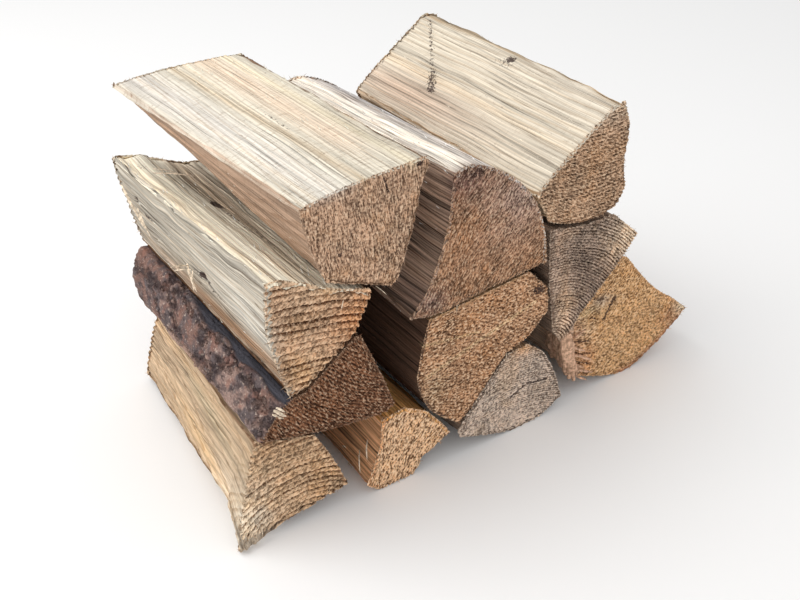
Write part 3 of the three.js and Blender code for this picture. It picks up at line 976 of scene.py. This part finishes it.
def bark_patch():
    """A closed slab of bark over the bark log's left side, its edges sunk into the wood."""
    depths, loops = sections_of(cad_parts["log_bark_left"])
    along = np.arange(depths[0] + BARK_STEP, depths[-1], BARK_STEP)
    side = lofted(depths, finer_loops(loops)[0], along)
    facing, across = facing_of(side, 3)
    out = np.stack([across[..., 2], np.zeros(side.shape[:2]), -across[..., 0]], axis=-1)
    out /= np.linalg.norm(out, axis=2, keepdims=True)
    middle = len(along) // 2
    covered = (facing[middle] > 95) & (facing[middle] < 232) & (side[middle, :, 0] < place(66, 0, 0).x)
    covered = np.nonzero(covered)[0][::-1]
    side, out = side[:, covered], out[:, covered]
    # Shares of the way from the patch's lower edge to its upper one, and from its front to its back.
    up = np.linspace(0, 1, len(covered))[None, :]
    length = np.linspace(0, 1, len(along))[:, None]
    swell = np.clip(np.minimum(up, 1 - up) / 0.14, 0, 1)
    swell = np.sqrt(swell * np.clip(np.minimum(length / 0.012, (1 - length) / 0.015), 0, 1))
    # The bark has come away along the top, where the dark layer under it shows.
    bared = np.clip((up - 0.80 - 0.10 * length + 0.04 * np.sin(length * 31)) / 0.04, 0, 1)
    bared = bared * np.clip((0.66 - length) / 0.1, 0, 1)
    # Its lower edge is paler towards the back.
    rosy = np.clip((0.34 - up) / 0.2, 0, 1) * np.clip((length - 0.35) / 0.2, 0, 1)
    draw = np.random.default_rng(61)
    scallop = np.interp(along, np.linspace(along[0], along[-1], 14), draw.uniform(0.5, 1.25, 14))[:, None]
    thick = (1.6 + 2.8 * length) * MM * scallop * (1 - 0.75 * bared)
    outer = side + out * (swell * thick - (1 - swell) * 1.5 * MM)[..., None]
    inner = side - out * 3.0 * MM
    m, n = swell.shape
    count = m * n
    faces = []
    for j in range(m - 1):
        for i in range(n - 1):
            a = j * n + i
            faces.append((a, a + 1, a + n + 1, a + n))
            faces.append((count + a, count + a + n, count + a + n + 1, count + a + 1))
    border = [j * n for j in range(m)] + [(m - 1) * n + i for i in range(1, n)]
    border += [j * n + n - 1 for j in range(m - 2, -1, -1)] + list(range(n - 2, 0, -1))
    for a, b in zip(border, border[1:] + border[:1]):
        faces.append((a, b, count + b, count + a))
    mesh = bpy.data.meshes.new("bark_left")
    mesh.from_pydata(np.concatenate([outer.reshape(-1, 3), inner.reshape(-1, 3)]), [], faces)
    for attribute, values in (("proud", swell * (1 - 0.85 * bared)), ("bared", bared), ("rosy", rosy)):
        store(mesh, attribute, np.concatenate([values.ravel(), np.zeros(count)]))
    return laid_out(mesh)


# Splinters that stand out one by one: root, tip, width, and how far the middle lifts.
SPLINTERS = [
    # Round the two knot holes in the upper left log's side.
    ((43, 284, 236), (44, 238, 208), 2.4, 2.5), ((46, 256, 222), (44, 226, 205), 1.7, 3.5),
    ((50, 154, 206), (32, 152, 211), 1.7, 1.0), ((50, 158, 206), (45, 131, 192), 2.4, 2.0),
    ((49, 144, 206), (44, 134, 192), 1.5, 2.0), ((50, 150, 204), (38, 160, 202), 1.2, 1.0),
    # On the upper left log's top, near its back.
    ((60, 238, 261), (98, 228, 251), 1.4, 2.5), ((64, 250, 260), (84, 240, 254), 1.0, 2.0),
    # Curled debris on the small bottom log's left side, and tufts at the bottom left log's toe.
    ((140, 40, 14), (131, 20, 26), 1.4, 3.0), ((146, 30, 34), (136, 14, 22), 1.2, 3.0),
    ((150, 22, 50), (140, 8, 40), 1.2, 3.5), ((144, 52, 22), (134, 40, 34), 1.0, 3.0),
    ((30, 22, 14), (18, 6, 6), 1.2, 1.0), ((34, 16, 20), (28, 4, 9), 1.0, 1.0),
    # Hanging from the middle logs' rims.
    ((300, 6, 104), (292, -3, 96), 0.8, 1.0), ((236, 4, 180), (230, -3, 172), 0.7, 1.0),
    ((120, 4, 226), (112, -3, 219), 0.8, 1.0), ((150, 4, 225), (156, -3, 218), 0.7, 1.0),
    # The pale bump of torn wood at the bark log's front corner.
    ((48, 3, 142), (57, -1, 134), 3.0, 0.8), ((50, 2, 145), (56, -2, 140), 1.9, 0.8),
    ((47, 4, 138), (55, 0, 132), 2.0, 0.5),
]
# The bottom right log's torn corner: broad strands that hang down its left side, and the
# layers between them and its sawn end.
STRANDS = [
    ((381, 14, 92), (394, 16, 26), 9.0, 5.0), ((384, 12, 90), (398, 13, 21), 9.0, 3.5),
    ((387, 10, 84), (402, 11, 18), 8.0, 2.0),
    ((383, 22, 86), (396, 26, 30), 11.0, 3.0), ((386, 34, 80), (396, 40, 34), 12.0, 2.0),
    ((393, 9.5, 58), (405, 9.5, 24), 4.0, 1.0),
    ((395, 11, 63), (412, 9, 53), 3.2, 0.8), ((397, 11, 53), (423, 8.4, 38), 3.6, 0.7),
    ((396, 11, 43), (413, 8.6, 31), 2.6, 0.8),
    ((400, 10, 34), (427, 8.6, 20), 3.2, 0.6), ((404, 10, 23), (419, 8.8, 13), 2.4, 0.6),
    ((395, 11, 75), (409, 8.6, 81), 3.0, 1.0),
]


def slivers(name, lying, blunt, finish):
    """Flat slivers as one piece: blunt at both ends or tapered, with their middles lifted."""
    draw = np.random.default_rng(23)
    spots, faces = [], []
    sides = len(SLIVER_SECTION)
    for start, stop, width, lift in lying:
        start, stop = place(*start), place(*stop)
        way = (stop - start).normalized()
        up = Vector((-0.5, -0.35, 0.8))
        up = (up - way * up.dot(way)).normalized()
        across = way.cross(up)
        first = len(spots)
        for k in range(SLIVER_STEPS):
            t = k / (SLIVER_STEPS - 1)
            middle = start.lerp(stop, t) + up * (math.sin(math.pi * t) * lift * MM)
            middle += across * draw.uniform(-0.12, 0.12) * width * MM
            taper = max(blunt, 0.12 + math.sin(math.pi * min(1.0, 0.12 + t * 0.88)) ** 0.7)
            half = width * MM * taper * draw.uniform(0.85, 1.1) / 2
            spots += [middle + across * half * a + up * half * b for a, b in SLIVER_SECTION]
        for k in range(SLIVER_STEPS - 1):
            for c in range(sides):
                a, b = first + sides * k + c, first + sides * k + (c + 1) % sides
                faces.append((a, b, b + sides, a + sides))
        last = first + sides * (SLIVER_STEPS - 1)
        faces.append(tuple(first + c for c in reversed(range(sides))))
        faces.append(tuple(last + c for c in range(sides)))
    mesh = bpy.data.meshes.new(name)
    mesh.from_pydata(spots, [], faces)
    mesh.materials.append(finish)
    return laid_out(mesh)


# ------------------------------------------------------------------ building

def settle(piece, sharp=50):
    """Smooth shading with crisp creases, and the body that a piece goes with."""
    piece.data.polygons.foreach_set("use_smooth", [True] * len(piece.data.polygons))
    piece.data.set_sharp_from_angle(angle=math.radians(sharp))
    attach(piece, "root")


def strewn(name, tree, skinned, finish, density, length, width, seed):
    """A piece of its own for what a tree spreads over a log's skin."""
    piece = bpy.data.objects.new(name, skinned.data)
    bpy.context.scene.collection.objects.link(piece)
    return grown(piece, tree, **{
        "Material": finish, "Density": density, "Length": length * MM, "Width": width * MM, "Seed": seed})


weathered, fringed, splintered, scaled = weathering_tree(), fringe_tree(), splinter_tree(), bark_tree()
for number, (name, own) in enumerate(LOGS.items()):
    log = {**COMMON, **own}
    piece = skin(name, log, number)
    grown(piece, weathered, **{
        "Material": wood(name.replace("log_", "wood_"), log, number), "Pith": heart(log),
        "Ring Width": log["ring"] * MM, "Ring Relief": 1.7 * MM * log["end_rings"],
        "Ridge Depth": log["ridge"] * 1.8 * MM, "Ridge Width": 4.5 * MM,
        "Terrace Depth": log["terrace"] * 3.0 * MM, "Wave Depth": 3.0 * MM,
        "End Roughness": 0.85 * MM, "Stroke": (0.3, 1.0, 1.0), "Chip Depth": 0.9 * MM, "Edge Wander": 9.0 * MM,
        "Seed": float(number)})
    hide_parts(name)
    settle(piece)
    fluff = lint(name.replace("log_", "lint_"), log["end"])
    fringe = strewn(name.replace("log_", "fringe_"), fringed, piece, fluff, density=40000.0 * log["fuzz"],
                    length=2.8, width=0.26, seed=40.0 + number)
    settle(fringe)
    # The splinters take the log's first tone, for most logs the paint of a lit face, painted light included.
    chaff = lint(name.replace("log_", "splinter_"), log["tone"][0][2])
    splinters = strewn(name.replace("log_", "splinters_"), splintered, piece, chaff, density=11000.0,
                       length=8.0, width=0.42, seed=70.0 + number)
    settle(splinters)

bark = grown(bark_patch(), scaled, **{
    "Material": bark_finish("bark"), "Scale Width": BARK_SCALE, "Scale Lift": 2.8 * MM, "Roughness": 3.2 * MM,
    "Seed": 5.0})
settle(bark, 40)
pale, torn = lint("splinter_pale", (232, 212, 186)), lint("torn_wood", (204, 162, 132), (0.5, 1.0, 0.12))
settle(slivers("loose_splinters", SPLINTERS, 0.0, pale), 60)
settle(slivers("torn_strands", STRANDS, 0.5, torn), 40)


# ------------------------------------------------------------------ the studio

SKY_STRENGTH = 0.74
LENS_MM, SENSOR_MM = 45.0, 36.0
# From the stack's front right corner on the ground, and which way the camera looks.
CAMERA_FROM_CORNER = (-0.80148, -0.5844, 0.65019)
CAMERA_AIM = (0.4828, 0.6972, -0.5299)


def studio_floor():
    """A wide pale floor."""
    mesh = bpy.data.meshes.new("studio_floor")
    half = 8.0
    corners = [(-half, -half, 0), (half, -half, 0), (half, half, 0), (-half, half, 0)]
    mesh.from_pydata(corners, [], [(0, 1, 2, 3)])
    floor = laid_out(mesh)
    material = bpy.data.materials.new("studio_paper")
    material.use_nodes = True
    surface = material.node_tree.nodes["Principled BSDF"]
    surface.inputs["Base Color"].default_value = (0.97, 0.97, 0.97, 1.0)
    surface.inputs["Roughness"].default_value = 1.0
    surface.inputs["Specular IOR Level"].default_value = 0.0
    mesh.materials.append(material)
    floor.location.z = cad_low.z


def soft_light(name, where, size, watts, colour=(1.0, 1.0, 1.0)):
    """A square soft light that looks at the middle of the stack."""
    data = bpy.data.lights.new(name, "AREA")
    data.size, data.energy, data.color = size, watts, colour
    lamp = bpy.data.objects.new(name, data)
    bpy.context.scene.collection.objects.link(lamp)
    lamp.location = where
    aim = (cad_low + cad_high) / 2 - Vector(where)
    lamp.rotation_mode = "QUATERNION"
    lamp.rotation_quaternion = aim.to_track_quat("-Z", "Y")


def sky():
    """Even white light from all round."""
    world = bpy.data.worlds.new("studio_air")
    bpy.context.scene.world = world
    world.use_nodes = True
    background = world.node_tree.nodes["Background"].inputs
    background["Color"].default_value, background["Strength"].default_value = (1.0, 1.0, 1.0, 1.0), SKY_STRENGTH


def camera():
    """The camera, in front of the stack's left side and above it."""
    data = bpy.data.cameras.new("camera")
    data.lens, data.sensor_width = LENS_MM, SENSOR_MM
    made = bpy.data.objects.new("camera", data)
    bpy.context.scene.collection.objects.link(made)
    right, back, up = CAMERA_FROM_CORNER
    made.location = (cad_high.x + right, cad_low.y + back, cad_low.z + up)
    made.rotation_mode = "QUATERNION"
    made.rotation_quaternion = Vector(CAMERA_AIM).to_track_quat("-Z", "Y")
    bpy.context.scene.camera = made


studio_floor()
sky()
soft_light("key_light", (-1.5, 0.7, 2.1), 2.2, 33.0, (1.0, 0.985, 0.965))
soft_light("fill_light", (-1.2, -1.9, 1.2), 1.8, 8.0)
camera()
bpy.context.scene.view_settings.view_transform = "Standard"
